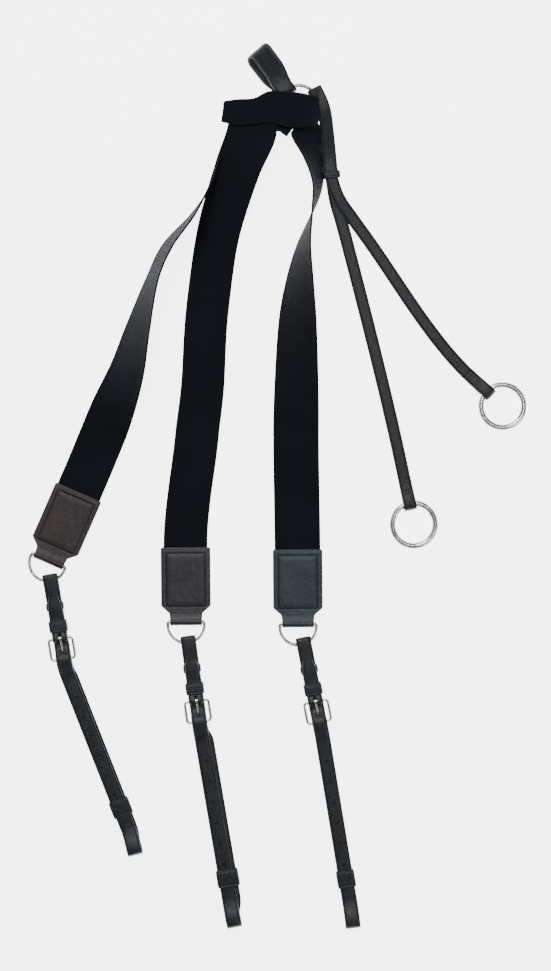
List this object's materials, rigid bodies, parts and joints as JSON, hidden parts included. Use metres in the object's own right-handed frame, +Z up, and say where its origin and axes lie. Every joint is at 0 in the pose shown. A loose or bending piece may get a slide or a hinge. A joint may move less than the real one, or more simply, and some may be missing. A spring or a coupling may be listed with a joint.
{
  "type": "elastic breastplate with running martingale",
  "caption": "Riding breastplate: elastic straps from a crown ring end in stitched leather patches with buckled straps, beside a leather fork with rein rings.",
  "frame": {"origin": "on the ground under the middle of the outline, laid flat", "axes": "+Y along the straps towards the crown ring, +X towards the fork, +Z up off the ground"},
  "size_m": [0.5229, 0.9246, 0.0488],
  "materials": {
    "webbing": "woven matte elastic",
    "strap_leather": "waxed satin leather",
    "patch_leather": "stitched glossy leather",
    "steel": "polished"
  },
  "bodies": {
    "root": {"centre_ring": "steel", "fork_yoke": "strap_leather", "yoke_keeper": "strap_leather", "left_elastic_upper": "webbing", "girth_elastic_upper": "webbing", "right_elastic_upper": "webbing"},
    "left_strap": {"left_elastic_lower": "webbing"},
    "left_end": {"left_patch": "patch_leather"},
    "left_ring": {"left_dee": "steel"},
    "left_belt": {"left_billet": "strap_leather", "left_buckle": "steel", "left_fixed_keeper": "strap_leather"},
    "left_prong": {"left_tongue": "steel"},
    "left_slider": {"left_sliding_keeper": "strap_leather"},
    "left_stop": {"left_bottom_keeper": "strap_leather"},
    "girth_strap": {"girth_elastic_lower": "webbing"},
    "girth_end": {"girth_patch": "patch_leather"},
    "girth_ring": {"girth_dee": "steel"},
    "girth_belt": {"girth_billet": "strap_leather", "girth_buckle": "steel", "girth_fixed_keeper": "strap_leather"},
    "girth_prong": {"girth_tongue": "steel"},
    "girth_slider": {"girth_sliding_keeper": "strap_leather"},
    "girth_stop": {"girth_bottom_keeper": "strap_leather"},
    "right_strap": {"right_elastic_lower": "webbing"},
    "right_end": {"right_patch": "patch_leather"},
    "right_ring": {"right_dee": "steel"},
    "right_belt": {"right_billet": "strap_leather", "right_buckle": "steel", "right_fixed_keeper": "strap_leather"},
    "right_prong": {"right_tongue": "steel"},
    "right_slider": {"right_sliding_keeper": "strap_leather"},
    "right_stop": {"right_bottom_keeper": "strap_leather"},
    "left_fork": {"left_branch": "strap_leather"},
    "left_eye": {"left_martingale_ring": "steel"},
    "right_fork": {"right_branch": "strap_leather"},
    "right_eye": {"right_martingale_ring": "steel"},
    "hanger": {"hang_loop": "strap_leather"}
  },
  "joints": [
    {"name": "left_strap_lift", "type": "hinge", "parent": "root", "child": "left_strap", "pos_m": [-0.18105, 0.0601, 0.0014], "axis": [-0.9239, 0.3827, 0], "range_deg": [0, 60]},
    {"name": "left_stretch", "type": "slide", "parent": "left_strap", "child": "left_end", "axis": [-0.4003, -0.9164, 0], "range_m": [0, 0.04], "stiffness_N_per_m": 300},
    {"name": "left_dee_swing", "type": "hinge", "parent": "left_end", "child": "left_ring", "pos_m": [-0.23928, -0.07598, 0.0043], "axis": [-0.9164, 0.4003, 0], "range_deg": [0, 110]},
    {"name": "left_belt_swing", "type": "hinge", "parent": "left_ring", "child": "left_belt", "pos_m": [-0.24048, -0.07873, 0.0043], "axis": [0, 0, 1], "range_deg": [-14, 12]},
    {"name": "left_prong_tilt", "type": "hinge", "parent": "left_belt", "child": "left_prong", "pos_m": [-0.22697, -0.15778, 0.0096], "axis": [0.9857, 0.1685, 0], "range_deg": [0, 3.5]},
    {"name": "left_slider_slide", "type": "slide", "parent": "left_belt", "child": "left_slider", "axis": [0.1685, -0.9857, 0], "range_m": [-0.005, 0.0005]},
    {"name": "left_stop_slide", "type": "slide", "parent": "left_belt", "child": "left_stop", "axis": [0.3665, -0.9304, 0], "range_m": [-0.135, 0.008]},
    {"name": "girth_strap_lift", "type": "hinge", "parent": "root", "child": "girth_strap", "pos_m": [-0.08365, 0.0601, 0.0014], "axis": [-0.9962, 0.0872, 0], "range_deg": [0, 60]},
    {"name": "girth_stretch", "type": "slide", "parent": "girth_strap", "child": "girth_end", "axis": [0.0087, -1, 0], "range_m": [0, 0.04], "stiffness_N_per_m": 300},
    {"name": "girth_dee_swing", "type": "hinge", "parent": "girth_end", "child": "girth_ring", "pos_m": [-0.09547, -0.1405, 0.0043], "axis": [-1, -0.0087, 0], "range_deg": [0, 110]},
    {"name": "girth_belt_swing", "type": "hinge", "parent": "girth_ring", "child": "girth_belt", "pos_m": [-0.09544, -0.1435, 0.0043], "axis": [0, 0, 1], "range_deg": [-12, 12]},
    {"name": "girth_prong_tilt", "type": "hinge", "parent": "girth_belt", "child": "girth_prong", "pos_m": [-0.08442, -0.22294, 0.0096], "axis": [0.9905, 0.1374, 0], "range_deg": [0, 3.5]},
    {"name": "girth_slider_slide", "type": "slide", "parent": "girth_belt", "child": "girth_slider", "axis": [0.1374, -0.9905, 0], "range_m": [-0.005, 0.0005]},
    {"name": "girth_stop_slide", "type": "slide", "parent": "girth_belt", "child": "girth_stop", "axis": [0.1685, -0.9857, 0], "range_m": [-0.135, 0.008]},
    {"name": "right_strap_lift", "type": "hinge", "parent": "root", "child": "right_strap", "pos_m": [0.01975, 0.0601, 0.0014], "axis": [-1, 0, 0], "range_deg": [0, 60]},
    {"name": "right_stretch", "type": "slide", "parent": "right_strap", "child": "right_end", "axis": [0.007, -1, 0], "range_m": [0, 0.04], "stiffness_N_per_m": 300},
    {"name": "right_dee_swing", "type": "hinge", "parent": "right_end", "child": "right_ring", "pos_m": [0.0219, -0.1427, 0.0043], "axis": [-1, -0.007, 0], "range_deg": [0, 110]},
    {"name": "right_belt_swing", "type": "hinge", "parent": "right_ring", "child": "right_belt", "pos_m": [0.02192, -0.1457, 0.0043], "axis": [0, 0, 1], "range_deg": [-12, 14]},
    {"name": "right_prong_tilt", "type": "hinge", "parent": "right_belt", "child": "right_prong", "pos_m": [0.04012, -0.22367, 0.0096], "axis": [0.9806, 0.1959, 0], "range_deg": [0, 3.5]},
    {"name": "right_slider_slide", "type": "slide", "parent": "right_belt", "child": "right_slider", "axis": [0.1959, -0.9806, 0], "range_m": [-0.005, 0.0005]},
    {"name": "right_stop_slide", "type": "slide", "parent": "right_belt", "child": "right_stop", "axis": [0.1633, -0.9866, 0], "range_m": [-0.135, 0.008]},
    {"name": "left_branch_lift", "type": "hinge", "parent": "root", "child": "left_fork", "pos_m": [0.07155, 0.2638, 0.0014], "axis": [-0.9664, -0.2571, 0], "range_deg": [0, 50]},
    {"name": "left_eye_swing", "type": "hinge", "parent": "left_fork", "child": "left_eye", "pos_m": [0.13867, -0.01653, 0.0056], "axis": [-0.9796, -0.2011, 0], "range_deg": [0, 110]},
    {"name": "right_branch_lift", "type": "hinge", "parent": "root", "child": "right_fork", "pos_m": [0.09115, 0.2659, 0.0014], "axis": [-0.8059, -0.592, 0], "range_deg": [0, 50]},
    {"name": "right_eye_swing", "type": "hinge", "parent": "right_fork", "child": "right_eye", "pos_m": [0.21962, 0.10086, 0.0056], "axis": [-0.6845, -0.729, 0], "range_deg": [0, 110]},
    {"name": "hanger_swing", "type": "hinge", "parent": "root", "child": "hanger", "pos_m": [0.00831, 0.41507, 0.016], "axis": [0.7986, 0.6018, 0], "range_deg": [0, 70]}
  ]
}
